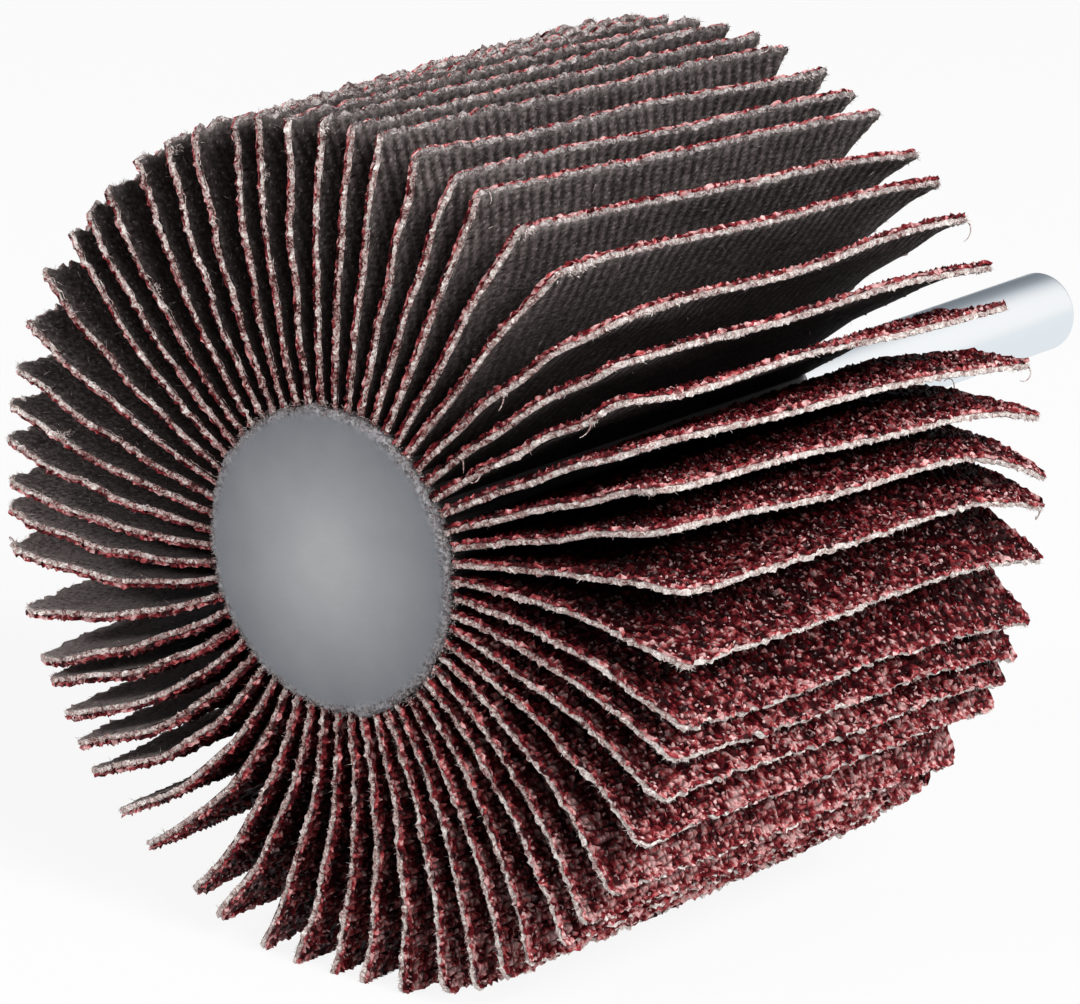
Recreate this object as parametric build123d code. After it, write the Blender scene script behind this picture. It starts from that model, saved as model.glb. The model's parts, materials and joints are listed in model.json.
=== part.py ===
from build123d import *
import math
import os

# Flap wheel on a steel shank, in millimetres and degrees. The wheel turns about the Y axis:
# its front face looks along -Y and the shank leaves along +Y. The origin is on the axis, where
# the free shank leaves the core. The wheel lies on its side, with +Z up.

# Wheel
wheel_diameter = 60.0
wheel_width = 40.0
rest_flat_depth = 0.3       # how far the lowest flap tips are pressed flat under the wheel

# Flaps
flap_count = 59
flap_thickness = 0.9
flap_root_gap = 0.1         # resin film between two neighbouring roots
first_root_angle = 1.3      # clockwise from the top, seen from the front
tip_trim = 1.2              # length of blade beyond the rim before it is ground true
# How far each tip leans clockwise from its root, seen from the front, in spacings between
# neighbouring flaps. A real wheel fans out unevenly, so each flap has a lean of its own.
flap_leans = [
    0.36, 0.13, 0.20, 0.11, -0.13, 0.08, 0.25, 0.74, 0.61, 0.43, 0.34, 0.26,
    0.13, 0.41, 0.93, 1.34, 1.07, 0.95, 1.15, 1.67, 1.79, 1.44, 1.59, 1.46,
    1.28, 1.26, 1.36, 1.62, 1.38, 1.39, 1.51, 1.72, 1.67, 2.13, 2.16, 2.21,
    1.98, 1.69, 1.49, 0.92, 1.05, 1.49, 1.31, 0.98, 0.89, 0.67, 0.67, 0.82,
    1.08, 1.26, 1.00, 0.93, 1.15, 1.18, 0.93, 1.15, 0.85, 0.77, 0.61,
]

# Root of a flap: a tab below a narrower neck, locked in the core's groove
tab_height = 0.7
neck_height = 0.7
tab_inset = 2.5             # from the side of the wheel to the end of the tab
notch_depth = 1.2           # how far the neck steps in from the tab at each end

# Cast resin core
bond_gap = 0.05             # bond line between the core and what it holds
front_proud = 0.8           # how far the front disc stands out past the flaps
front_bevel = 0.5           # broken edge of the front disc
boss_length = 3.0           # resin behind the flaps, round the shank
boss_collar = 2.2           # flat ring of resin round the shank, at the top of the boss
boss_bevel = 1.0            # broken edge at the foot of the boss

# Steel shank
shank_diameter = 6.0
shank_free_length = 40.0
shank_cover = 7.0           # resin between the shank's inner end and the front of the flaps
shank_chamfer = 0.6
grip_rise = 0.2             # how far the roughened half in the core stands out past the plain one
groove_count = 2
groove_width = 1.4
groove_depth = 0.4
groove_pitch = 8.0
first_groove = 5.0          # from the mouth of the core to the first groove's near side
key_flat_length = 9.0
key_flat_depth = 0.7        # how deep each of the two flats is cut into the roughened half

# Sizes that follow
wheel_back = -boss_length
wheel_front = wheel_back - wheel_width
wheel_middle = (wheel_front + wheel_back) / 2
root_radius = flap_count * (flap_thickness + flap_root_gap) / (2 * math.pi)
neck_radius = root_radius + tab_height
core_radius = neck_radius + neck_height
tab_width = wheel_width - 2 * tab_inset
neck_width = tab_width - 2 * notch_depth
root_pitch = 360.0 / flap_count
rim_radius = wheel_diameter / 2
shank_radius = shank_diameter / 2
grip_radius = shank_radius + grip_rise
shank_end = wheel_front + shank_cover


def across(y):
    """Plane across the axis: its x is the radius of a flap at the top, its y is clockwise."""
    return Plane(origin=(0, y, 0), x_dir=(0, 0, 1), z_dir=(0, 1, 0))


def around_axis(radius, start, end):
    """Round bar about the wheel's axis, from one station on Y to another."""
    return extrude(across(start) * Circle(radius), end - start)


def blade_section(lean):
    """A blade leaves the core radially and bends on one arc, so that its tip has its lean."""
    half = flap_thickness / 2
    run = rim_radius * math.cos(math.radians(lean)) - core_radius
    rise = rim_radius * math.sin(math.radians(lean))
    turn = 2 * math.atan2(rise, run)
    bend_radius = run / math.sin(turn)
    full_turn = turn + tip_trim / bend_radius

    def side(offset):
        reach = bend_radius - offset
        return ThreePointArc(*(
            (core_radius + reach * math.sin(a), bend_radius - reach * math.cos(a))
            for a in (0, full_turn / 2, full_turn)
        ))

    backing, grain = side(half), side(-half)
    tip = Line(backing @ 1, grain @ 1)
    foot = Line(grain @ 0, backing @ 0)
    return across(wheel_front) * make_face([backing, tip, grain, foot])


def rim_envelope():
    """The ground rim of the wheel, with the small flat that it rests on."""
    rim = around_axis(rim_radius, wheel_front, wheel_back)
    below = Pos(0, wheel_middle, -rim_radius) * Box(
        wheel_diameter, wheel_width * 2, rest_flat_depth * 2)
    return rim - below


def flap(lean, root_angle, rim):
    """One flap: a bent blade on a notched root, turned to its place round the core."""
    blade = extrude(blade_section(lean), wheel_width)
    neck = Pos(0, wheel_middle, neck_radius + neck_height / 2) * Box(
        flap_thickness, neck_width, neck_height)
    tab = Pos(0, wheel_middle, root_radius + tab_height / 2) * Box(
        flap_thickness, tab_width, tab_height)
    whole = Rot(0, root_angle, 0) * (blade + neck + tab)
    return whole & rim


def shank_form(grow):
    """The shank, or with a positive growth the cavity that the resin leaves round it."""
    radius = grip_radius + grow
    form = around_axis(shank_radius, 0, shank_free_length)
    form += around_axis(radius, shank_end - grow, 0)
    for index in range(groove_count):
        near = -first_groove - index * groove_pitch - grow
        far = near - groove_width + 2 * grow
        form -= around_axis(radius, far, near) - around_axis(radius - groove_depth, far, near)
    for side in (-1, 1):
        form -= Pos(side * radius, shank_end, 0) * Box(
            2 * key_flat_depth, 2 * (key_flat_length - grow), shank_diameter * 2)
    return form


def build_shank():
    form = shank_form(0)
    rear_edge = form.edges().filter_by(GeomType.CIRCLE).sort_by(Axis.Y)[-1]
    return chamfer(rear_edge, shank_chamfer)


def build_core():
    """Revolved resin body: a disc in front, a coned boss behind and the locking groove."""
    front = wheel_front - front_proud
    outline = Polyline(
        (0, front),
        (core_radius - front_bevel, front),
        (core_radius, front + front_bevel),
        (core_radius, wheel_back),
        (core_radius - boss_bevel, wheel_back + boss_bevel),
        (shank_radius + boss_collar, 0),
        (0, 0),
        close=True,
    )
    body = revolve(make_face(outline), Axis.Y)

    def groove_ring(inner, outer, width):
        near = wheel_middle + width / 2 + bond_gap
        far = wheel_middle - width / 2 - bond_gap
        return around_axis(outer, far, near) - around_axis(inner, far, near)

    body -= groove_ring(root_radius - bond_gap, neck_radius + bond_gap, tab_width)
    body -= groove_ring(root_radius, core_radius * 1.1, neck_width)
    return body - shank_form(bond_gap)


def build_flaps():
    """Flaps round the core, two to a node; the last stands alone if the count is odd."""
    rim = rim_envelope()
    flaps = [
        flap(flap_leans[i % len(flap_leans)] * root_pitch, first_root_angle + i * root_pitch, rim)
        for i in range(flap_count)
    ]
    nodes = {}
    for i in range(0, flap_count - 1, 2):
        nodes[f"flaps_{i + 1:02d}_{i + 2:02d}"] = Compound([flaps[i], flaps[i + 1]])
    if flap_count % 2:
        nodes[f"flap_{flap_count:02d}"] = flaps[-1]
    return nodes


os.makedirs("parts", exist_ok=True)
nodes = {"shank": build_shank(), "core": build_core(), **build_flaps()}
for name, shape in nodes.items():
    export_step(shape, f"parts/{name}.step")
print(f"{len(nodes)} nodes")
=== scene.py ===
# Looks of the flap wheel. Everything is in metres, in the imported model's own frame.
import json
import math
import bpy
import numpy as np
from mathutils import Matrix, Vector


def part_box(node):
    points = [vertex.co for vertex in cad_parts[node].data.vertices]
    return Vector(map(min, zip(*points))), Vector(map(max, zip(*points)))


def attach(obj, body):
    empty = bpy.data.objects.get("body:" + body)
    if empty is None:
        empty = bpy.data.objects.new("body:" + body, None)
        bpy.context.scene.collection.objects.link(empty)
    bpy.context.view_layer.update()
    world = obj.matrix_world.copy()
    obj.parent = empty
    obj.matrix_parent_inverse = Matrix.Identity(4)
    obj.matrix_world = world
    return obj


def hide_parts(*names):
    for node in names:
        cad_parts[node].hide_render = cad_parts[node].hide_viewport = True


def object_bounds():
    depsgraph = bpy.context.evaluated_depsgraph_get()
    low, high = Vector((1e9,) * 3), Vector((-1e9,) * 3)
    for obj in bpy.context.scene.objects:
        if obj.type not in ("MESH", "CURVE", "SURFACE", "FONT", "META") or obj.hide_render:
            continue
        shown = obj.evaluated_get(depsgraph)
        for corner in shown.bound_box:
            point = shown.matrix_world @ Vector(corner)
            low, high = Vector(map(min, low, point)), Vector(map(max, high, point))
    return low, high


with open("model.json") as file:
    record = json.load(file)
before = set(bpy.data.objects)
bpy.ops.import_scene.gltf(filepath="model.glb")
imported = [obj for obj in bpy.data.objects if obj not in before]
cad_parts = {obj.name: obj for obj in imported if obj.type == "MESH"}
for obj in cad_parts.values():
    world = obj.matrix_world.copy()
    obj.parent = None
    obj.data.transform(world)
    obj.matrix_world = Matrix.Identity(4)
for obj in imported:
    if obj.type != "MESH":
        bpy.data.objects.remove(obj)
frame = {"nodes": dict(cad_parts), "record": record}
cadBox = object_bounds()
mm = 0.001
turn = 2 * math.pi


# Node helpers

def plug(tree, socket, value):
    # a socket takes another node's output or a plain value
    if isinstance(value, bpy.types.NodeSocket):
        tree.links.new(value, socket)
    else:
        socket.default_value = value


def addNode(tree, kind, inputs=None, **settings):
    made = tree.nodes.new(kind)
    for key, value in settings.items():
        setattr(made, key, value)
    for key, value in (inputs or {}).items():
        plug(tree, made.inputs[key], value)
    return made


def calc(tree, operation, *values):
    made = addNode(tree, "ShaderNodeMath", operation=operation)
    for index, value in enumerate(values):
        plug(tree, made.inputs[index], value)
    return made.outputs[0]


def plus(tree, first, *others):
    for value in others:
        first = calc(tree, "ADD", first, value)
    return first


def times(tree, first, *others):
    for value in others:
        first = calc(tree, "MULTIPLY", first, value)
    return first


def minus(tree, first, second):
    return calc(tree, "SUBTRACT", first, second)


def colorMix(tree, factor, first, second):
    made = addNode(tree, "ShaderNodeMix", data_type="RGBA")
    for index, value in ((0, factor), (6, first), (7, second)):
        plug(tree, made.inputs[index], value)
    return made.outputs[2]


def colorSteps(tree, factor, steps):
    ramp = addNode(tree, "ShaderNodeValToRGB", {"Fac": factor})
    stops = ramp.color_ramp.elements
    while len(stops) < len(steps):
        stops.new(0.5)
    for stop, (place, color) in zip(stops, steps):
        stop.position = place
        stop.color = (*color, 1)
    return ramp.outputs["Color"]


def objectPlace(tree):
    return addNode(tree, "ShaderNodeTexCoord").outputs["Object"]


def placeParts(tree):
    # the place's three parts, and how far it is from the wheel's axis
    parts = addNode(tree, "ShaderNodeSeparateXYZ", {"Vector": objectPlace(tree)}).outputs
    square = plus(tree, times(tree, parts["X"], parts["X"]), times(tree, parts["Z"], parts["Z"]))
    return parts, calc(tree, "SQRT", square)


def noise(tree, place, scale, detail, roughness=0.5):
    return addNode(tree, "ShaderNodeTexNoise", {
        "Vector": place, "Scale": scale, "Detail": detail, "Roughness": roughness}).outputs["Fac"]


def attribute(tree, name):
    return addNode(tree, "ShaderNodeAttribute", attribute_name=name).outputs["Fac"]


def newGroup(name, inputs, outputs):
    group = bpy.data.node_groups.new(name, "ShaderNodeTree")
    for label, value in inputs.items():
        socket = group.interface.new_socket(label, in_out="INPUT", socket_type="NodeSocketFloat")
        socket.default_value = value
    for label in outputs:
        group.interface.new_socket(label, in_out="OUTPUT", socket_type="NodeSocketFloat")
    return group, group.nodes.new("NodeGroupInput").outputs, group.nodes.new("NodeGroupOutput")


def useGroup(tree, group, **values):
    made = addNode(tree, "ShaderNodeGroup", node_tree=group)
    for label, value in values.items():
        made.inputs[label].default_value = value
    return made.outputs


def newMaterial(name):
    material = bpy.data.materials.new(name)
    material.use_nodes = True
    tree = material.node_tree
    tree.nodes.clear()
    return material, tree


def finishMaterial(tree, surface):
    addNode(tree, "ShaderNodeOutputMaterial", {"Surface": surface})


# Effects that several materials share

yarnLook = {
    "ribPitch": 0.99 * mm, "slant": 0.466,        # twill ribs run outward and a little forward
    "pickPitch": 0.45 * mm, "pickShift": 0.37,    # picks cross them, each rib's shifted by this share
    "wander": 0.34 * mm, "wanderScale": 700.0,    # how far both stray from straight lines
    "fuzzScale": 2500.0, "fuzzRoughness": 0.68, "fuzzPower": 3.4, "fuzzGain": 6.8, "pickGain": 0.26,
}


def softWave(tree, laps):
    # from 0 to 1 and back once in each whole lap
    return plus(tree, 0.5, times(tree, 0.5, calc(tree, "SINE", times(tree, laps, turn))))


def makeYarnGroup():
    look = yarnLook
    inputs = {label: look[label] for label in ("ribPitch", "slant", "pickPitch", "wander")}
    group, given, result = newGroup("yarns", inputs, ("Rib", "Fuzz"))
    place = objectPlace(group)
    parts, radius = placeParts(group)
    drift = times(group, minus(group, noise(group, place, look["wanderScale"], 1.0), 0.5), given["wander"])
    slanted = plus(group, parts["Y"], times(group, radius, given["slant"]))
    along = calc(group, "DIVIDE", plus(group, slanted, drift), given["ribPitch"])
    across = calc(group, "DIVIDE", plus(group, radius, drift), given["pickPitch"])
    shift = times(group, calc(group, "FLOOR", along), look["pickShift"])
    pick = softWave(group, plus(group, across, shift))
    fuzz = noise(group, place, look["fuzzScale"], 4.0, look["fuzzRoughness"])
    hairy = times(group, calc(group, "POWER", fuzz, look["fuzzPower"]), look["fuzzGain"])
    group.links.new(softWave(group, along), result.inputs["Rib"])
    group.links.new(plus(group, times(group, pick, look["pickGain"]), hairy), result.inputs["Fuzz"])
    return group


def makeCrumbGroup():
    # small crumbs of grit and dust: one random value to each crumb, and a share of them picked out
    group, given, result = newGroup("crumbs", {"size": 0.3 * mm, "share": 0.3}, ("Random", "Mask"))
    cells = addNode(group, "ShaderNodeTexVoronoi", {
        "Vector": objectPlace(group), "Scale": calc(group, "DIVIDE", 1.0, given["size"])})
    parts = addNode(group, "ShaderNodeSeparateXYZ", {"Vector": cells.outputs["Color"]}).outputs
    group.links.new(parts["X"], result.inputs["Random"])
    group.links.new(calc(group, "LESS_THAN", parts["Y"], given["share"]), result.inputs["Mask"])
    return group


def makeRadiusRampGroup():
    # 0 near the wheel's axis, 1 further out than the end
    group, given, result = newGroup("wear", {"start": 20 * mm, "end": 30 * mm}, ("Mask",))
    radius = placeParts(group)[1]
    share = calc(group, "DIVIDE", minus(group, radius, given["start"]),
                 minus(group, given["end"], given["start"]))
    held = addNode(group, "ShaderNodeClamp", {"Value": share}).outputs[0]
    group.links.new(held, result.inputs["Mask"])
    return group


yarns = makeYarnGroup()
crumbs = makeCrumbGroup()
wear = makeRadiusRampGroup()


# Materials

grainLook = {
    # a grain's tone from dark to pale; the palest steps stand in for glints, painted highlights on some
    # facets, with some pale dust
    "steps": [
        (0.00, (0.012, 0.001, 0.0015)), (0.34, (0.055, 0.0025, 0.005)), (0.56, (0.200, 0.012, 0.018)),
        (0.72, (0.430, 0.055, 0.062)), (0.86, (0.740, 0.210, 0.210)), (1.00, (0.940, 0.540, 0.525)),
    ],
    "valley": (0.006, 0.0006, 0.0009, 1), "speck": (0.95, 0.64, 0.62, 1),
    "roughness": 0.5, "specular": 0.08,
    "micro": 0.21 * mm, "speckShare": 0.11,                          # fine crumbs, and how many carry a painted glint
    "byGrain": 0.60, "byCrumb": 0.24, "byWear": 0.15, "byEdge": 0.20,    # what makes a spot paler; towards the rim and near a free edge this is wear and painted light
    "patchScale": 1050.0, "patchMiddle": 0.56, "patchGain": 2.0,     # paler and darker patches
    "wornFrom": 19.5 * mm, "wornTo": 29.3 * mm,
    "glintLow": 0.3, "glintWorn": 0.9,       # how strongly the painted glints show, and how much more towards the rim
    "cleanLow": 0.16, "cleanEdge": 0.85,     # painted shade: how much of its own colour the grain keeps near the core, where shade falls between the flaps, and at an edge; partly wear
}


def makeGrain():
    look = grainLook
    material, tree = newMaterial("abrasiveGrain")
    grit, depth, edge = (attribute(tree, name) for name in ("grit", "depth", "edge"))
    rimward = useGroup(tree, wear, start=look["wornFrom"], end=look["wornTo"])["Mask"]
    small = useGroup(tree, crumbs, size=look["micro"], share=look["speckShare"])
    patch = noise(tree, objectPlace(tree), look["patchScale"], 2.0)
    # paler towards the rim and near a free edge: wear, and painted light where the tips and edges catch it
    blend = plus(
        tree, times(tree, grit, look["byGrain"]), times(tree, small["Random"], look["byCrumb"]),
        times(tree, rimward, look["byWear"]), times(tree, edge, look["byEdge"]),
        times(tree, minus(tree, patch, look["patchMiddle"]), look["patchGain"]))
    # painted shade with dirt: the hollows between grains are dark, the peaks keep their colour
    body = colorMix(tree, depth, look["valley"], colorSteps(tree, blend, look["steps"]))
    raised = calc(tree, "POWER", depth, 0.6)
    # painted glints: pale specks on the raised crumbs, stronger towards the rim
    glint = times(tree, small["Mask"], small["Random"], raised, plus(
        tree, look["glintLow"], times(tree, rimward, look["glintWorn"])))
    bright = colorMix(tree, glint, body, look["speck"])
    # painted shade, partly wear: away from the rim and the free edges the grain fades to the valley colour,
    # as shade falls between the flaps
    outOfShade = calc(tree, "MAXIMUM", rimward, times(tree, edge, look["cleanEdge"]))
    clear = plus(tree, look["cleanLow"], times(tree, outOfShade, 1 - look["cleanLow"]))
    shader = addNode(tree, "ShaderNodeBsdfPrincipled", {
        "Base Color": colorMix(tree, clear, look["valley"], bright),
        "Roughness": look["roughness"], "Specular IOR Level": look["specular"]})
    finishMaterial(tree, shader.outputs[0])
    return material


clothLook = {
    "valley": (0.012, 0.009, 0.0085, 1), "yarn": (0.275, 0.232, 0.224, 1),
    "dust": (0.42, 0.38, 0.365, 1), "soaked": (0.010, 0.0052, 0.0046, 1),
    "roughness": 0.9, "specular": 0.06, "bump": 0.05 * mm,
    "ribLow": 0.42, "ribTip": 0.50,          # how dark it is between ribs, and how much darker at the tip: the weave's pattern, with painted shade in the valleys
    "tipFrom": 24 * mm, "tipTo": 29.5 * mm,
    "cloudScale": 330.0, "shadeLow": 0.30, "shadeCloud": 0.9,             # paler and darker areas
    "speckSize": 0.16 * mm, "speckShare": 0.10, "speckLow": 0.3, "speckRib": 0.6,
    "frayLow": 0.05, "frayFuzz": 0.7,        # pale fuzz beside a cut edge
    "dryFrom": 12 * mm, "dryTo": 27 * mm, "dryLow": 0.12, "dryRise": 0.88,    # painted shade in the gaps between flaps, less of it further out
}


def makeCloth():
    # the depth attribute says how clear the ribs are, and grit how much light fluff there is, together with
    # painted light and shade that differ from flap to flap
    look = clothLook
    material, tree = newMaterial("clothBacking")
    weave = useGroup(tree, yarns)
    ribs, fluff, edge = (attribute(tree, name) for name in ("depth", "grit", "edge"))
    tip = useGroup(tree, wear, start=look["tipFrom"], end=look["tipTo"])["Mask"]
    # the valleys between ribs are darker: the weave's pattern, with painted shade, stronger near the tip
    dark = times(tree, ribs, plus(tree, look["ribLow"], times(tree, tip, look["ribTip"])))
    ribbed = minus(tree, 1.0, times(tree, dark, minus(tree, 1.0, weave["Rib"])))
    cloud = noise(tree, objectPlace(tree), look["cloudScale"], 2.0)
    shade = plus(tree, look["shadeLow"], times(tree, cloud, look["shadeCloud"]))
    body = colorMix(tree, times(tree, weave["Fuzz"], ribbed, fluff, shade), look["valley"], look["yarn"])
    speck = useGroup(tree, crumbs, size=look["speckSize"], share=look["speckShare"])
    lit = times(tree, speck["Mask"], speck["Random"], plus(
        tree, look["speckLow"], times(tree, weave["Rib"], look["speckRib"])))
    frayed = times(tree, edge, plus(tree, look["frayLow"], times(tree, weave["Fuzz"], look["frayFuzz"])))
    dusty = colorMix(tree, calc(tree, "MAXIMUM", lit, frayed), body, look["dust"])
    # painted shade: the cloth darkens towards the core, where the gaps between the flaps are deep
    outward = useGroup(tree, wear, start=look["dryFrom"], end=look["dryTo"])["Mask"]
    unshaded = plus(tree, look["dryLow"], times(tree, outward, look["dryRise"], calc(tree, "MINIMUM", fluff, 1.0)))
    height = plus(tree, times(tree, weave["Fuzz"], 0.5), times(tree, weave["Rib"], ribs, 0.5))
    bump = addNode(tree, "ShaderNodeBump", {"Height": height, "Distance": look["bump"]})
    shader = addNode(tree, "ShaderNodeBsdfPrincipled", {
        "Base Color": colorMix(tree, unshaded, look["soaked"], dusty), "Roughness": look["roughness"],
        "Normal": bump.outputs["Normal"], "Specular IOR Level": look["specular"]})
    finishMaterial(tree, shader.outputs[0])
    return material


cutLook = {
    "steps": [
        (0.00, (0.030, 0.010, 0.010)), (0.24, (0.150, 0.050, 0.048)), (0.40, (0.330, 0.210, 0.195)),
        (0.62, (0.520, 0.430, 0.405)), (0.90, (0.820, 0.770, 0.730)),
    ],
    "dirtySteps": [
        (0.00, (0.022, 0.017, 0.017)), (0.35, (0.090, 0.074, 0.073)), (0.60, (0.210, 0.185, 0.182)),
        (0.85, (0.420, 0.380, 0.370)), (1.00, (0.640, 0.560, 0.540)),
    ],
    "roughness": 0.9, "specular": 0.06, "micro": 0.12 * mm,
    "byYarn": 0.34, "byCrumb": 0.48, "byWear": 0.18, "wornFrom": 12 * mm, "wornTo": 30 * mm,
}


def makeCutCloth():
    # the edge attribute says how freshly cut the cloth is
    look = cutLook
    material, tree = newMaterial("cutCloth")
    grit, fresh = attribute(tree, "grit"), attribute(tree, "edge")
    rimward = useGroup(tree, wear, start=look["wornFrom"], end=look["wornTo"])["Mask"]
    small = useGroup(tree, crumbs, size=look["micro"])
    blend = plus(tree, times(tree, grit, look["byYarn"]), times(tree, small["Random"], look["byCrumb"]),
                 times(tree, rimward, look["byWear"]))
    color = colorMix(tree, fresh, colorSteps(tree, blend, look["dirtySteps"]),
                     colorSteps(tree, blend, look["steps"]))
    shader = addNode(tree, "ShaderNodeBsdfPrincipled", {
        "Base Color": color, "Roughness": look["roughness"], "Specular IOR Level": look["specular"]})
    finishMaterial(tree, shader.outputs[0])
    return material


resinLook = {
    "centre": (0.348, 0.348, 0.356, 1), "edge": (0.132, 0.140, 0.156, 1), "dark": (0.050, 0.036, 0.037, 1),
    "fuzz": (0.36, 0.345, 0.355, 1), "deep": (0.010, 0.007, 0.007, 1),
    "edgeFrom": 1.5 * mm, "edgeTo": 10.5 * mm, "cloudScale": 230.0, "cloud": 0.35,
    "dust": 0.2 * mm, "fineScale": 2600.0, "roughness": 0.42, "roughSpread": 0.16, "bump": 0.02 * mm,
}


def makeResin():
    # the rim attribute marks the crusty rim, and the other one paints shade, near black, on what lies between
    # the flap roots
    look = resinLook
    material, tree = newMaterial("castResin")
    place = objectPlace(tree)
    cloud = noise(tree, place, look["cloudScale"], 5.0)
    fine = noise(tree, place, look["fineScale"], 2.0)
    dust = useGroup(tree, crumbs, size=look["dust"])
    # painted sheen: the disc is paler in the middle and darker towards its rim, with real mottling on top
    outward = useGroup(tree, wear, start=look["edgeFrom"], end=look["edgeTo"])["Mask"]
    share = plus(tree, outward, times(tree, minus(tree, cloud, 0.5), look["cloud"]))
    body = colorMix(tree, share, look["centre"], look["edge"])
    crust = colorMix(tree, dust["Random"], look["dark"], look["fuzz"])
    face = colorMix(tree, attribute(tree, "rim"), body, crust)
    rough = plus(tree, look["roughness"], times(tree, fine, look["roughSpread"]))
    bump = addNode(tree, "ShaderNodeBump", {"Height": fine, "Distance": look["bump"]})
    shader = addNode(tree, "ShaderNodeBsdfPrincipled", {
        "Base Color": colorMix(tree, attribute(tree, "buried"), face, look["deep"]),
        "Roughness": rough, "Normal": bump.outputs["Normal"]})
    finishMaterial(tree, shader.outputs[0])
    return material


steelLook = {
    "color": (0.885, 0.905, 0.920, 1), "roughness": 0.25, "roughSpread": 0.1,
    "turning": (60.0, 9000.0, 60.0), "bump": 0.0015 * mm,      # fine turned rings round the shank
}


def makeSteel():
    look = steelLook
    material, tree = newMaterial("turnedSteel")
    stretch = addNode(tree, "ShaderNodeMapping", {"Vector": objectPlace(tree), "Scale": look["turning"]})
    marks = noise(tree, stretch.outputs[0], 1.0, 2.0)
    rough = plus(tree, look["roughness"], times(tree, marks, look["roughSpread"]))
    bump = addNode(tree, "ShaderNodeBump", {"Height": marks, "Distance": look["bump"]})
    shader = addNode(tree, "ShaderNodeBsdfPrincipled", {
        "Base Color": look["color"], "Metallic": 1.0, "Roughness": rough, "Normal": bump.outputs["Normal"]})
    finishMaterial(tree, shader.outputs[0])
    return material


grain, cloth, cutCloth, resin, steel = makeGrain(), makeCloth(), makeCutCloth(), makeResin(), makeSteel()
print("materials made")


# Meshes

def addAttribute(mesh, name, domain, values):
    layer = mesh.attributes.new(name, "FLOAT", domain)
    layer.data.foreach_set("value", values.astype(np.float32))


class Build:
    # collects grids and triangles, then makes one mesh of them
    def __init__(self):
        self.points, self.corners, self.sizes, self.slots, self.smooth = [], [], [], [], []
        self.grit, self.depth, self.edge = [], [], []
        self.count = 0

    def addFaces(self, points, faces, slot, smooth, grit=0.5, depth=1.0, edge=1.0):
        points, faces = np.asarray(points, float).reshape(-1, 3), np.asarray(faces)
        self.points.append(points)
        self.corners.append((faces + self.count).ravel())
        self.sizes.append(np.full(len(faces), faces.shape[1]))
        self.slots.append(np.full(len(faces), slot))
        self.smooth.append(np.full(len(faces), smooth))
        self.grit.append(np.broadcast_to(grit, len(faces)))
        self.depth.append(np.broadcast_to(depth, len(points)))
        self.edge.append(np.broadcast_to(np.ravel(edge), len(points)))
        self.count += len(points)

    def addGrid(self, points, slot, smooth, closed=False, rng=None, edge=1.0, grit=0.5, depth=1.0):
        # with a random source, grit is what is added to each face's own random value
        rows, cols = points.shape[:2]
        index = np.arange(rows * cols).reshape(rows, cols)
        if closed:
            index = np.concatenate([index, index[:, :1]], 1)
        corners = [index[:-1, :-1], index[:-1, 1:], index[1:, 1:], index[1:, :-1]]
        faces = np.stack(corners, -1).reshape(-1, 4)
        if rng is not None:
            grit = rng.random(len(faces)) + grit
            depth = rng.uniform(0.35, 1, rows * cols)
        self.addFaces(points, faces, slot, smooth, grit, depth, edge)

    def make(self, name, materials):
        points, corners = np.concatenate(self.points), np.concatenate(self.corners)
        sizes = np.concatenate(self.sizes)
        mesh = bpy.data.meshes.new(name)
        mesh.vertices.add(len(points))
        mesh.vertices.foreach_set("co", points.ravel().astype(np.float32))
        mesh.loops.add(len(corners))
        mesh.loops.foreach_set("vertex_index", corners.astype(np.int32))
        mesh.polygons.add(len(sizes))
        starts = np.concatenate([[0], np.cumsum(sizes)[:-1]])
        mesh.polygons.foreach_set("loop_start", starts.astype(np.int32))
        for material in materials:
            mesh.materials.append(material)
        mesh.polygons.foreach_set("material_index", np.concatenate(self.slots).astype(np.int32))
        mesh.polygons.foreach_set("use_smooth", np.concatenate(self.smooth))
        addAttribute(mesh, "grit", "FACE", np.concatenate(self.grit))
        addAttribute(mesh, "depth", "POINT", np.concatenate(self.depth))
        addAttribute(mesh, "edge", "POINT", np.concatenate(self.edge))
        mesh.update()
        piece = bpy.data.objects.new(name, mesh)
        bpy.context.scene.collection.objects.link(piece)
        return piece


def latheGrid(profile, sides):
    # rings about the axis from (radius, place on the axis) pairs
    around = np.arange(sides) * turn / sides
    radius, along = (np.array(values)[:, None] * np.ones(sides) for values in zip(*profile))
    return around, radius, along


def addLathe(build, around, radius, along):
    # the rings, and a flat fan that closes each end that comes near the axis
    points = np.stack([radius * np.sin(around), along, radius * np.cos(around)], -1)
    build.addGrid(points, 0, True, closed=True)
    sides = len(around)
    for ring, turned in ((points[0], True), (points[-1], False)):
        if np.hypot(ring[:, 0], ring[:, 2]).mean() < 1 * mm:
            fan = np.stack([np.full(sides, sides), np.arange(sides), (np.arange(sides) + 1) % sides], -1)
            middle = [[0, ring[:, 1].mean(), 0]]
            build.addFaces(np.concatenate([ring, middle]), fan[:, ::-1] if turned else fan, 0, True)


def quarterRound(steps, start=0.0):
    # (sine, cosine) pairs over a quarter of a circle
    return [(math.sin(a), math.cos(a)) for a in np.linspace(start, 1, steps) * math.pi / 2]


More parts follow.
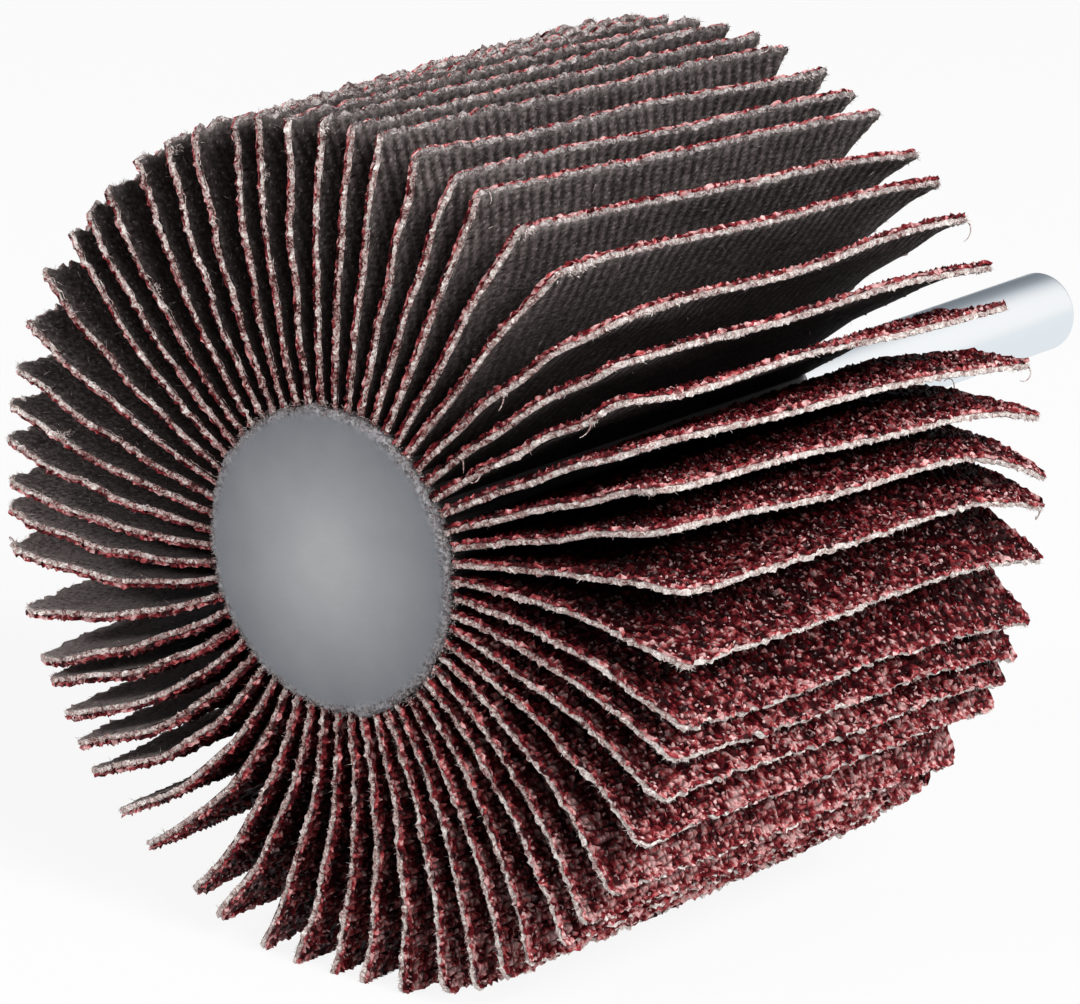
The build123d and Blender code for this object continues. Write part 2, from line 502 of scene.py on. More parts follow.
def solidsOf(node):
    # the vertices of each separate solid in a node
    mesh = frame["nodes"][node].data
    points = np.empty(len(mesh.vertices) * 3, np.float32)
    mesh.vertices.foreach_get("co", points)
    points = points.reshape(-1, 3).astype(float)
    same = np.unique(np.round(points, 7), axis=0, return_inverse=True)[1].ravel()
    edges = np.empty(len(mesh.edges) * 2, np.int32)
    mesh.edges.foreach_get("vertices", edges)
    first, second = same[edges].reshape(-1, 2).T
    # both ends of an edge take the lower label, until each solid has one label
    label = np.arange(same.max() + 1)
    while True:
        before = label.copy()
        low = np.minimum(label[first], label[second])
        np.minimum.at(label, first, low)
        np.minimum.at(label, second, low)
        if (label == before).all():
            break
    return [points[label[same] == one] for one in np.unique(label[same])]


# The wheel's sizes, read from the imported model

flapNodes = sorted(name for name in frame["nodes"] if name.startswith("flap"))
flapLow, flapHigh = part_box(flapNodes[0])
coreLow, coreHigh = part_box("core")
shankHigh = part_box("shank")[1]
coreRadius = (coreHigh.z - coreLow.z) / 2
rimRadius = cadBox[1].x
floorHeight = cadBox[0].z
wheelFront, wheelBack = flapLow.y, flapHigh.y
wheelWidth = wheelBack - wheelFront
shankRadius = frame["record"]["mounts"][0]["dims"]["r_mm"] * mm
footDepth, tipDepth = 0.3 * mm, 0.35 * mm      # how much of a flap's foot and tip is measured


def readFlap(points, node):
    radius = np.hypot(points[:, 0], points[:, 2])
    foot = points[radius < radius.min() + footDepth]
    tip = points[radius > radius.max() - tipDepth]
    rootAngle = math.atan2(foot[:, 0].mean(), foot[:, 2].mean())
    tipAngle = math.atan2(tip[:, 0].mean(), tip[:, 2].mean())
    lean = (tipAngle - rootAngle + math.pi) % turn - math.pi
    return {"node": node, "root": rootAngle % turn, "lean": lean}


flapShapes = sorted(
    (readFlap(points, node) for node in flapNodes for points in solidsOf(node)),
    key=lambda flap: flap["root"],
)
print("flaps read:", len(flapShapes))


# Flaps

flapLook = {
    "thickness": 0.61 * mm, "rimInset": -0.16 * mm,
    "rootShare": -0.01,      # blades start a little inside the resin
    # how the blade bends: degrees, and the shares of its width that the two corners take
    "spread": 0.35, "frontDroop": 0.5, "wave": 0.25, "ripple": 0.28, "rippleSlant": 1.7,
    "backCorner": 0.28, "frontCorner": 0.12, "sagPower": 1.6,
    # the grains: their spacing, and how far the fine ones reach in from the side edges
    "grainCell": 0.47 * mm, "coarseCell": 0.95 * mm, "sideStrip": 1.8 * mm,
    "coatFoot": 0.24, "footDip": 0.07 * mm, "grainShift": 0.36, "peakShift": 0.22,
    # a grain rises from the least share of this height to the least and the spread together
    "grainHeight": 0.38 * mm, "leastRise": 0.25, "riseSpread": 0.85, "risePower": 1.2,
    "lostGrains": 0.08, "lostRise": 0.2, "grainMottle": 0.22,
    "ribHeight": 0.055 * mm, "ribRagged": 0.6, "ribColumns": 3, "sheetStep": 1.0 * mm, "sheetRows": 6,
    # millimetres from the tip where the rows of ribbed cloth lie
    "ribRows": [3.4, 2.7, 2.05, 1.5, 1.0, 0.5, 0.04],
    # the cut edges: spacing of their points, and how far yarn ends, lumps and broken grain stand out
    "edgeStep": 0.21 * mm, "grainStep": 1.4, "tuft": 0.38 * mm, "lump": 0.20, "crumb": 0.33 * mm,
    # how uneven the cut is, and how wide the worn band beside it is, where the grain is also painted paler as
    # if lit, and the frayed band
    "ragged": 0.10 * mm, "raggedStep": 0.42 * mm, "wornBand": 1.1 * mm, "frayBand": 0.35 * mm,
    "fibres": 520, "fibreLength": 0.29 * mm, "fibreWidth": 0.024 * mm,
    "cornerFray": 1.6 * mm, "cornerFibres": 7,      # how far from a corner more fibres stand, and how many
    # teased fibres in each millimetre of a fray, how far they spread, and their lengths
    "frayDensity": 90, "frayWidth": 0.065 * mm, "frayUp": 0.16, "frayAcross": 0.36,
    "frayLength": (0.10 * mm, 0.30 * mm),
    "hairs": 170, "hairWidth": 0.034 * mm, "hairLength": (0.25 * mm, 0.75 * mm), "hairReach": 0.75,
    "seed": 7,
    # tables of (place of a flap's tip in degrees clockwise from the top, value)
    "byPlace": {
        # degrees that the back edge leans past the front edge, and how much further the back corner hangs
        "twist": [(0, 5.2), (15, 6.0), (34, 6.2), (41, 3.0), (48, 0.7), (56, 2.6), (63, 4.6), (69, 5.2),
                  (76, 5.4), (84, 3.2), (93, 2.0), (105, 4.0), (112, 3.8), (119, 1.8), (128, 3.4),
                  (136, 2.0), (160, 3.2), (300, 3.4), (360, 5.2)],
        "droop": [(0, 0.2), (50, 0.3), (62, 0.8), (70, 2.6), (76, 5.0), (84, 3.2), (93, 2.0), (105, 2.4),
                  (112, 1.9), (119, 0.6), (200, 0.2), (260, 1.2), (360, 0.2)],
        # millimetres that the fine grain reaches in from the tip, and how pale the grain is from dust and
        # from painted light and shade by place
        "fineLength": [(0, 5.5), (62, 5.5), (74, 8.8), (160, 8.8), (175, 5.5), (360, 5.5)],
        "dusty": [(0, 0.0), (66, -0.04), (84, -0.14), (96, -0.12), (108, 0.06), (124, 0.30), (155, 0.44),
                  (178, 0.08), (200, -0.10), (250, -0.04), (270, 0.0), (360, 0.0)],
        # how thick the grain coat still is along the cut edges
        "coat": [(0, 0.40), (22, 0.55), (45, 1.0), (250, 1.0), (268, 0.70), (280, 0.40), (360, 0.40)],
        # how much of the cut edge is cloth, and how many millimetres it stands out at the tip
        "band": [(0, 0.05), (35, 0.15), (48, 0.50), (62, 0.65), (90, 0.75), (110, 1.0), (190, 1.0),
                 (230, 0.6), (262, 0.2), (290, 0.05), (360, 0.05)],
        "proud": [(0, 0), (105, 0), (128, 0.12), (150, 0.20), (180, 0.20), (200, 0), (360, 0)],
        # how pale and how freshly cut that cloth is
        "pale": [(0, -0.05), (42, 0.1), (62, 0.35), (100, 0.45), (190, 0.35), (240, 0.05), (300, 0.04),
                 (360, -0.05)],
        "fresh": [(0, 0.05), (26, 0.15), (42, 0.75), (60, 1), (250, 1), (290, 0.8), (330, 0.4), (360, 0.05)],
        # how clear the cloth's ribs are, how much light fluff and painted light and shade it has, and how
        # many loose hairs
        "ribs": [(0, 1.0), (180, 0.5), (230, 0.15), (330, 0.25), (350, 1.0), (360, 1.0)],
        "fluff": [(0, 0.62), (12, 0.90), (34, 0.92), (48, 0.84), (60, 0.66), (80, 0.70), (180, 1.0),
                  (240, 1.55), (264, 1.5), (271, 0.78), (295, 0.58), (320, 0.44), (350, 0.50), (360, 0.62)],
        "hairy": [(0, 0.3), (30, 0.15), (60, 0), (190, 0), (215, 1), (335, 1), (350, 0.4), (360, 0.3)],
        # millimetres by which the front corner is rounded, and how ragged the edges are
        "round": [(0, 0.3), (180, 0.4), (200, 1.0), (245, 0.9), (262, 0.3), (360, 0.3)],
        "rough": [(0, 1.1), (60, 1.0), (90, 1.3), (200, 1.2), (250, 2.2), (330, 2.2), (360, 1.1)],
    },
}


# On a blade, s runs from 0 at the root to 1 at the tip, and w from 0 at the front to 1 at the back.

def bladeAngleExtra(flap, s, w):
    # twist, drooping corners and a slow wave, in radians of turn about the axis
    back = np.clip((w - 1) / flapLook["backCorner"] + 1, 0, 1)
    front = np.clip(1 - w / flapLook["frontCorner"], 0, 1)
    sway = flap["wave"] * np.sin(turn * (w * flap["waves"] + flap["phase"]))
    bend = flap["twist"] * w + flap["droop"] * back ** 2 + flap["frontDroop"] * front ** 2 + sway
    laps = s * flap["ripples"] + flap["phase"] * 3 + w * flapLook["rippleSlant"]
    ripple = flap["ripple"] * np.sin(turn * laps)
    return np.radians(bend) * s ** flapLook["sagPower"] + np.radians(ripple) * np.clip(s * 3, 0, 1)


def cornerCut(flap, w):
    # how much of the blade's length a rounded corner takes away, from 0 to 1
    cut = 0
    for size, far in ((flap["cornerFront"], w), (flap["cornerBack"], 1 - w)):
        near = np.clip(1 - far * wheelWidth / size, 0, 1)
        cut = cut + size * (1 - np.sqrt(1 - near ** 2))
    return cut / flap["length"]


def bladeCurve(flap, s, w):
    # outward and sideways from the root, on the middle of the blade
    out = coreRadius + flap["reach"] * np.sin(flap["bend"] * s)
    side = flap["reach"] * (1 - np.cos(flap["bend"] * s))
    angle = np.arctan2(side, out) + bladeAngleExtra(flap, np.maximum(s, 0), w)
    radius = np.hypot(out, side)
    return radius * np.cos(angle), radius * np.sin(angle)


def raggedCut(flap, s, w):
    # small steps in and out along the tip and the sides, which fade out within the blade
    at, tip, front, back = flap["raggedAt"], *flap["raggedCuts"]
    nearTip, nearFront, nearBack = (np.clip(share, 0, 1) for share in (s * 10 - 9, 1 - w * 20, w * 20 - 19))
    s = s + np.interp(w, at, tip) / flap["length"] * nearTip
    w = w + (np.interp(s, at, front) * nearFront + np.interp(s, at, back) * nearBack) / wheelWidth
    return s, w


def bladePoints(flap, s, w, lift, outward=0.0):
    # lift is towards the cloth side; outward pushes a free edge out along the blade
    s, w, lift = np.broadcast_arrays(np.asarray(s, float), np.asarray(w, float), np.asarray(lift, float))
    s, w = raggedCut(flap, s, w)
    # rounded corners pull in the last third of the blade
    nearTip = np.clip(s * 4 - 2.6, 0, 1)
    s = s * (1 - cornerCut(flap, np.clip(w, 0, 1)) * nearTip)
    out, side = bladeCurve(flap, s, w)
    # a point a little further on shows which way the blade runs there
    aheadOut, aheadSide = bladeCurve(flap, s + 0.004, w)
    alongOut, alongSide = aheadOut - out, aheadSide - side
    size = np.hypot(alongOut, alongSide)
    alongOut, alongSide = alongOut / size, alongSide / size
    out = out - alongSide * lift + alongOut * outward
    side = side + alongOut * lift + alongSide * outward
    up, right = math.cos(flap["root"]), math.sin(flap["root"])
    points = np.stack([
        out * right + side * up, wheelFront + w * wheelWidth, out * up - side * right], -1)
    points[..., 2] = np.maximum(points[..., 2], floorHeight)
    return points


def edgeNearness(flap, s, w):
    # 1 at a free edge, falling off over a couple of millimetres
    away = np.minimum((1 - s) * flap["length"], np.minimum(w, 1 - w) * wheelWidth)
    return np.exp(-np.maximum(away, 0) / flapLook["wornBand"])


def addGrains(build, flap, reach, span, cell, rng):
    # every grain is a small pyramid on a jittered grid; reach is up the blade, span is across it
    look = flapLook
    rows = max(2, int((reach[1] - reach[0]) * flap["length"] / cell))
    cols = max(2, int((span[1] - span[0]) * wheelWidth / cell))
    sGrid, wGrid = np.meshgrid(np.linspace(*reach, rows + 1), np.linspace(*span, cols + 1), indexing="ij")
    loose = np.ones_like(sGrid)
    loose[:, [0, -1]] = 0
    loose[[0, -1]] = 0
    stepS, stepW = (reach[1] - reach[0]) / rows, (span[1] - span[0]) / cols
    sGrid = sGrid + loose * rng.uniform(-look["grainShift"], look["grainShift"], sGrid.shape) * stepS
    wGrid = wGrid + loose * rng.uniform(-look["grainShift"], look["grainShift"], sGrid.shape) * stepW
    foot = look["thickness"] * look["coatFoot"]
    dip = loose * rng.uniform(0, look["footDip"], sGrid.shape)
    low = bladePoints(flap, sGrid, wGrid, -(foot + dip))
    shiftS = rng.uniform(-look["peakShift"], look["peakShift"], (rows, cols)) * stepS
    shiftW = rng.uniform(-look["peakShift"], look["peakShift"], (rows, cols)) * stepW
    peakS = (sGrid[:-1, :-1] + sGrid[1:, 1:]) / 2 + shiftS
    peakW = (wGrid[:-1, :-1] + wGrid[1:, 1:]) / 2 + shiftW
    rise = look["leastRise"] + look["riseSpread"] * rng.random((rows, cols)) ** look["risePower"]
    lost = rng.random((rows, cols)) < look["lostGrains"]
    # grains are low at the root, where resin covers them, and along worn edges
    rise *= look["grainHeight"] * np.clip((peakS - 0.02) * 6, 0.2, 1) * np.where(lost, look["lostRise"], 1)
    rise *= 1 - (1 - flap["coat"]) * edgeNearness(flap, peakS, peakW)
    high = bladePoints(flap, peakS, peakW, -(foot + rise))
    index = np.arange((rows + 1) * (cols + 1)).reshape(rows + 1, cols + 1)
    top = (rows + 1) * (cols + 1) + np.arange(rows * cols).reshape(rows, cols)
    ring = [index[:-1, :-1], index[1:, :-1], index[1:, 1:], index[:-1, 1:]]
    faces = np.concatenate([
        np.stack([ring[k], ring[(k + 1) % 4], top], -1).reshape(-1, 3) for k in range(4)])
    # a grain has a tone of its own, a little different on each side, shifted by the flap's dust and painted
    # light; depth is 1 at the peaks, and low depth paints the hollows dark as shade, with dirt
    grit = np.tile(rng.random(rows * cols) + flap["dusty"], 4)
    tone = np.clip(grit + rng.uniform(-look["grainMottle"], look["grainMottle"], len(grit)), 0, 1.2)
    depth = np.concatenate([rng.uniform(0.0, 0.32, low.size // 3), rng.uniform(0.9, 1, rows * cols)])
    edge = np.concatenate([
        edgeNearness(flap, sGrid, wGrid).ravel(), edgeNearness(flap, peakS, peakW).ravel()])
    points = np.concatenate([low.reshape(-1, 3), high.reshape(-1, 3)])
    build.addFaces(points, faces, 0, False, tone, depth, edge)


def addGrainCoat(build, flap, rng):
    # fine grain at the free end and beside the two side edges, coarser where it is out of sight
    split, strip = 1 - flap["fineLength"] / flap["length"], flapLook["sideStrip"] / wheelWidth
    fine, coarse, low = flapLook["grainCell"], flapLook["coarseCell"], flapLook["rootShare"]
    addGrains(build, flap, (split, 1.0), (0, 1), fine, rng)
    addGrains(build, flap, (low, split), (0, strip), fine, rng)
    addGrains(build, flap, (low, split), (strip, 1 - strip), coarse, rng)
    addGrains(build, flap, (low, split), (1 - strip, 1), fine, rng)


def ribWave(points):
    # the same slanted ribs as in the cloth's material, from -1 to 1
    radius = np.hypot(points[..., 0], points[..., 2])
    return np.sin(turn * (points[..., 1] + radius * yarnLook["slant"]) / yarnLook["ribPitch"])


def addClothFace(build, flap, rng):
    # real ribs near the free end, and a plain sheet further in, where the material carries them
    look = flapLook
    fromTip = np.array(look["ribRows"]) * mm
    ribCols = int(wheelWidth / yarnLook["ribPitch"] * look["ribColumns"])
    sheetCols = round(wheelWidth / look["sheetStep"]) + 1
    for inner, cols in ((False, ribCols), (True, sheetCols)):
        s = 1 - fromTip / flap["length"]
        if inner:
            s = np.linspace(look["rootShare"], s[0], look["sheetRows"])
        sGrid, wGrid = np.meshgrid(s, np.linspace(0.0, 1.0, cols), indexing="ij")
        away = (1 - sGrid) * flap["length"]
        height = flap["ribs"] * look["ribHeight"] * np.clip(1.15 - away / fromTip[0], 0, 1)
        uneven = rng.uniform(-look["ribRagged"], look["ribRagged"], sGrid.shape)
        lift = look["thickness"] / 2 + height * (ribWave(bladePoints(flap, sGrid, wGrid, 0)) + uneven)
        frayed = np.exp(-away / look["frayBand"])
        build.addGrid(bladePoints(flap, sGrid, wGrid, lift), 1, True, edge=frayed, grit=flap["fluff"],
                      depth=flap["ribs"])


def edgePath(length, step):
    # up the front edge, along the tip and down the back edge; edge normals in (blade, axis)
    side, tip, low = int(length / step), int(wheelWidth / step), flapLook["rootShare"]
    s = np.concatenate([np.linspace(low, 1, side, endpoint=False), np.ones(tip),
                        np.linspace(1, low, side)])
    w = np.concatenate([np.zeros(side), np.linspace(0, 1, tip, endpoint=False), np.ones(side)])
    outS = np.concatenate([np.zeros(side), np.ones(tip), np.zeros(side)])
    outW = np.concatenate([-np.ones(side), np.zeros(tip), np.ones(side)])
    outS[side], outW[side] = 0.5, -0.5
    outS[side + tip], outW[side + tip] = 0.5, 0.5
    return s, w, outS, outW


def edgeRow(flap, path, push, lift):
    # one row of points along the edges, that far out and that high on the blade's thickness
    s, w, outS, outW = path
    return bladePoints(flap, s, w + outW * push / wheelWidth, lift, outS * push)


def addEdges(build, flap, rng):
    # the cut cloth with its yarn ends, and beside it the broken edge of the grain coat
    look, coat, band = flapLook, flap["coat"], flap["band"]
    half = look["thickness"] / 2

    def level(narrow, wide):
        # height on the blade where the band of cloth is narrow and where it is wide
        return half * (narrow + (wide - narrow) * band)

    path = edgePath(flap["length"], look["edgeStep"])
    size, onTip = len(path[0]), path[2]
    tuft = np.convolve(rng.random(size + 2) ** 2, [0.2, 0.6, 0.2], "valid") * look["tuft"]
    sway = rng.normal(0, 0.05, (4, size)) * mm
    # yarn ends come in lumps: wider or narrower, paler or redder
    uneven = np.apply_along_axis(
        np.convolve, 1, rng.random((2, size + 2)) - 0.5, [0.5, 0.5, 0.5], "valid")
    lump, stain = uneven * look["lump"] * [[mm], [1]]
    rib = ribWave(bladePoints(flap, path[0], path[1], 0)) * onTip * look["ribHeight"] * flap["ribs"]
    tuft = tuft + flap["proud"] * onTip * mm
    # from the cloth face over two rows of yarn ends to the bond coat
    rows = [
        edgeRow(flap, path, -0.10 * mm, half + 0.02 * mm + rib),
        edgeRow(flap, path, tuft * 0.7 - 0.03 * mm, half * 0.85 + sway[1] + rib + lump),
        edgeRow(flap, path, tuft - 0.02 * mm + sway[3], level(0.30, -0.08) + sway[2] + lump * 0.4),
        edgeRow(flap, path, -0.10 * mm, level(-0.18, -0.56) + sway[3] * 0.5 + lump * 0.6),
    ]
    fresh = 1 - (1 - flap["fresh"]) * onTip
    grit = flap["pale"] * (0.5 + 0.5 * onTip) + stain * (6 - 2.5 * band)
    build.addGrid(np.stack(rows)[::-1], 2, False, rng=rng, edge=np.tile(fresh, 4), grit=np.tile(grit[:-1], 3))

    path = edgePath(flap["length"], look["edgeStep"] * look["grainStep"])
    size = len(path[0])
    crumb = rng.random((2, size)) * look["crumb"] * coat
    sway = rng.normal(0, 0.08, (2, size)) * mm * coat
    # from under the cloth over two rows of broken grain to the grain side
    rows = [
        edgeRow(flap, path, -0.17 * mm, level(0.10, -0.23)),
        edgeRow(flap, path, crumb[0] - (1 - coat) * 0.12 * mm, level(-0.40, -0.68) + sway[0]),
        edgeRow(flap, path, crumb[1] * 0.9 - 0.08 * mm, level(-0.55, -0.75) - half * 0.50 * coat + sway[1]),
        edgeRow(flap, path, -0.25 * mm, -half * 0.58),
    ]
    build.addGrid(np.stack(rows)[::-1], 0, False, rng=rng, grit=0.05 + (1 - coat) * 0.35)


def addSpikes(build, start, aim, reach, width, rng, grit=0.0, fresh=1.0):
    # short stiff fibres: each a slim closed spike with three sides, in the slot of cut cloth
    count = len(start)
    aim = aim / np.linalg.norm(aim, axis=1)[:, None]
    side = np.cross(aim, rng.normal(0, 1, (count, 3)))
    side *= width / np.linalg.norm(side, axis=1)[:, None]
    other = np.cross(aim, side)
    ring = [start + side * math.cos(a) + other * math.sin(a) for a in (0, turn / 3, 2 * turn / 3)]
    points = np.stack([*ring, start + aim * reach[:, None]], 1)
    points[..., 2] = np.maximum(points[..., 2], floorHeight)
    first = np.arange(count)[:, None] * 4
    faces = np.concatenate([first + corners for corners in ([0, 1, 3], [1, 2, 3], [2, 0, 3], [0, 2, 1])])
    build.addFaces(points, faces, 2, False, rng.uniform(0.45, 1, len(faces)) + grit, 1.0, fresh)


def addFibres(build, flap, rng):
    # yarn ends that stand out of the cut edges, most of them at the two corners
    look, count, length = flapLook, flapLook["fibres"], flap["length"]
    s, w, outS, outW = edgePath(length, look["edgeStep"])
    corner = np.exp(-((1 - s) * length / look["cornerFray"]) ** 2) * np.exp(
        -(np.minimum(w, 1 - w) * wheelWidth / look["cornerFray"]) ** 2)
    chance = 1 + look["cornerFibres"] * corner
    pick = rng.choice(len(s), count, p=chance / chance.sum())
    s, w, outS, outW = (values[pick] for values in (s, w, outS, outW))
    lift = rng.uniform(0.0, 0.5, count) * look["thickness"]
    start = bladePoints(flap, s, w, lift)
    ahead = 0.5 * mm
    far = bladePoints(flap, s, w + outW * ahead / wheelWidth, lift + rng.normal(0.1, 0.5, count) * ahead,
                      outS * ahead)
    reach = look["fibreLength"] * (0.3 + 1.3 * rng.random(count) ** 2)
    aim = far - start + rng.normal(0, 0.24, (count, 3)) * mm
    addSpikes(build, start, aim, reach, look["fibreWidth"], rng, flap["pale"], flap["fresh"])


def addFray(build, flap, s, w, size, rng):
    # cloth teased out of an edge: many short spikes that lie about one spot on the cloth side
    look = flapLook
    count = int(look["frayDensity"] * size / mm)
    atS = np.clip(s + rng.normal(0, look["frayUp"], count) * size / flap["length"], 0, 1)
    atW = np.clip(w + rng.normal(0, look["frayAcross"], count) * size / wheelWidth, 0, 1)
    lift = look["thickness"] * 0.5 + rng.uniform(-0.22, 0.04, count) * mm
    start = bladePoints(flap, atS, atW, lift)
    aim = bladePoints(flap, atS, atW, lift + 0.10 * mm) - start + rng.normal(0, 0.34, (count, 3)) * mm
    addSpikes(build, start, aim, rng.uniform(*look["frayLength"], count), look["frayWidth"], rng, 0.15)


def addHairs(build, flap, rng):
    # short hairs teased out of the cloth face, most of them near the tip
    look, count = flapLook, int(flapLook["hairs"] * flap["hairy"])
    if count == 0:
        return
    s, w = 1 - look["hairReach"] * rng.random(count) ** 1.6, rng.random(count)
    lift = look["thickness"] / 2 - 0.01 * mm
    start = bladePoints(flap, s, w, lift)
    slideS, slideW = rng.normal(0, 0.5, (2, count)) * mm
    far = bladePoints(flap, s + slideS / flap["length"], w + slideW / wheelWidth,
                      lift + rng.uniform(0.06, 0.32, count) * mm)
    reach = rng.uniform(*look["hairLength"], count)
    addSpikes(build, start, far - start, reach, look["hairWidth"], rng, -0.25, 0.5)


threadLook = {"steps": 16, "thick": 0.075 * mm, "taper": 0.6}


def addThread(build, start, aim, length, curl, rng):
    # a loose yarn: a thin three-sided tube that curls as it goes
    steps = threadLook["steps"]
    aim = np.array(aim) / np.linalg.norm(aim)
    spin = np.cross(aim, rng.normal(0, 1, 3))
    spin /= np.linalg.norm(spin)
    rings, point = [], np.array(start)
    bends = rng.uniform(0.3, 1.7, steps + 1)
    for step in range(steps + 1):
        thick = threadLook["thick"] * (1 - threadLook["taper"] * step / steps)
        up, across = spin * thick, np.cross(aim, spin) * thick
        rings.append([point + up * math.cos(a) + across * math.sin(a) for a in (0, turn / 3, 2 * turn / 3)])
        point = point + aim * length / steps
        aim = np.array(Matrix.Rotation(curl / steps * bends[step], 3, Vector(spin)) @ Vector(aim))
    rings = np.array(rings)
    rings[..., 2] = np.maximum(rings[..., 2], floorHeight)
    build.addGrid(rings, 2, True, closed=True, rng=rng, grit=0.0)


looseThreads = [
    # place of the root round the wheel in degrees, place up the blade, place across it, length, curl
    (44, 0.51, 0.0, 1.5 * mm, 0.7), (56, 0.79, 0.0, 1.4 * mm, 1.4), (56, 0.24, 0.0, 1.3 * mm, 2.4),
    (50, 0.20, 0.0, 1.1 * mm, 1.2), (44, 1.0, 1.0, 1.8 * mm, 2.2), (38, 0.98, 1.0, 1.2 * mm, 3.0),
    (68, 0.60, 1.0, 3.4 * mm, 5.5), (80, 1.0, 0.99, 1.5 * mm, 3.2), (62, 1.0, 1.0, 1.6 * mm, 2.6),
    (25, 1.0, 0.02, 1.2 * mm, 2.6), (252, 1.0, 0.01, 1.3 * mm, 3.2), (300, 1.0, 0.6, 1.2 * mm, 2.6),
    (320, 0.62, 0.0, 1.0 * mm, 2.0), (345, 0.75, 0.0, 0.9 * mm, 2.4), (7, 1.0, 0.93, 1.4 * mm, 3.0),
]
frays = [
    # place of the root in degrees, place up the blade, place across it, size
    (32, 0.985, 0.02, 1.5 * mm), (38, 0.985, 0.05, 2.0 * mm), (44, 1.0, 0.16, 2.2 * mm),
    (50, 1.0, 0.30, 1.5 * mm), (44, 0.98, 0.985, 1.3 * mm), (50, 0.98, 0.985, 1.2 * mm),
    (62, 0.98, 0.98, 1.3 * mm), (68, 1.0, 0.97, 1.4 * mm), (74, 0.97, 0.98, 1.5 * mm),
    (80, 0.97, 0.98, 1.6 * mm), (86, 0.97, 0.98, 1.2 * mm), (14, 1.0, 0.95, 1.2 * mm),
    (56, 0.79, 0.0, 0.8 * mm), (44, 0.51, 0.0, 0.5 * mm), (68, 0.93, 0.0, 0.9 * mm),
    (110, 1.0, 0.02, 1.0 * mm), (276, 0.74, 0.0, 1.4 * mm), (252, 1.0, 0.0, 1.0 * mm),
    (262, 0.99, 0.0, 0.9 * mm), (326, 0.97, 0.01, 1.0 * mm), (355, 0.98, 0.0, 1.0 * mm),
    (340, 0.8, 0.0, 0.8 * mm), (310, 0.6, 0.0, 0.8 * mm), (200, 1.0, 0.5, 1.2 * mm),
]


def shapeFlap(flap, rng):
    # this flap's own bend, wear and ragged edges
    rim = rimRadius - flapLook["rimInset"]
    run, rise = rim * math.cos(flap["lean"]) - coreRadius, rim * math.sin(flap["lean"])
    flap["bend"] = 2 * math.atan2(rise, run)
    flap["reach"] = run / math.sin(flap["bend"])
    flap["length"] = flap["reach"] * flap["bend"]
    place = math.degrees(flap["root"] + flap["lean"]) % 360
    for key, table in flapLook["byPlace"].items():
        flap[key] = np.interp(place, *zip(*table))
    for key in ("twist", "droop"):
        flap[key] += rng.uniform(-1, 1) * flapLook["spread"]
    flap["frontDroop"] = flapLook["frontDroop"] * rng.uniform(-1, 1)
    flap["wave"] = flapLook["wave"] * rng.uniform(0.2, 1)
    flap["waves"] = rng.uniform(0.7, 1.8)
    flap["phase"] = rng.random()
    flap["ripple"] = flapLook["ripple"] * rng.uniform(0.3, 1.2)
    flap["ripples"] = rng.uniform(1.5, 3.2)
    flap["cornerFront"] = flap["round"] * rng.uniform(0.5, 1.4) * mm
    flap["cornerBack"] = rng.uniform(0.1, 0.5) * mm
    flap["fineLength"] *= mm
    steps = int(wheelWidth / flapLook["raggedStep"])
    flap["raggedAt"] = np.linspace(0, 1, steps)
    cuts = rng.normal(0, 1, (3, steps)).clip(-2, 1.5) * [[1], [0.5], [0.5]]
    flap["raggedCuts"] = cuts * flapLook["ragged"] * flap["rough"]


def isRootedAt(flap, place):
    return abs(flap["root"] - math.radians(place)) < math.pi / len(flapShapes)


def makeFlap(number, flap):
    rng = np.random.default_rng(flapLook["seed"] + number)
    shapeFlap(flap, rng)
    build = Build()
    for addPart in (addGrainCoat, addClothFace, addEdges, addFibres):
        addPart(build, flap, rng)
    for place, s, w, size, curl in looseThreads:
        if isRootedAt(flap, place):
            # it leaves the edge that it is nearest to, and rises on the cloth side
            start = bladePoints(flap, s, w, 0.2 * mm)
            aim = bladePoints(flap, s + 0.02 * (s > 0.9), w + (w - 0.5) * 0.02, 0.9 * mm) - start
            addThread(build, start, aim, size, curl, rng)
    for place, s, w, size in frays:
        if isRootedAt(flap, place):
            addFray(build, flap, s, w, size, rng)
    addHairs(build, flap, rng)
    piece = build.make(f"flap_{number + 1:02d}", [grain, cloth, cutCloth])
    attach(piece, "root")
    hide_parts(flap["node"])
    return piece


flapPieces = [makeFlap(number, flap) for number, flap in enumerate(flapShapes)]
faceCounts = [sum(len(face.vertices) - 2 for face in piece.data.polygons) for piece in flapPieces]
print("flaps made:", len(flapPieces), "triangles:", sum(faceCounts), "most in one:", max(faceCounts))


# Core

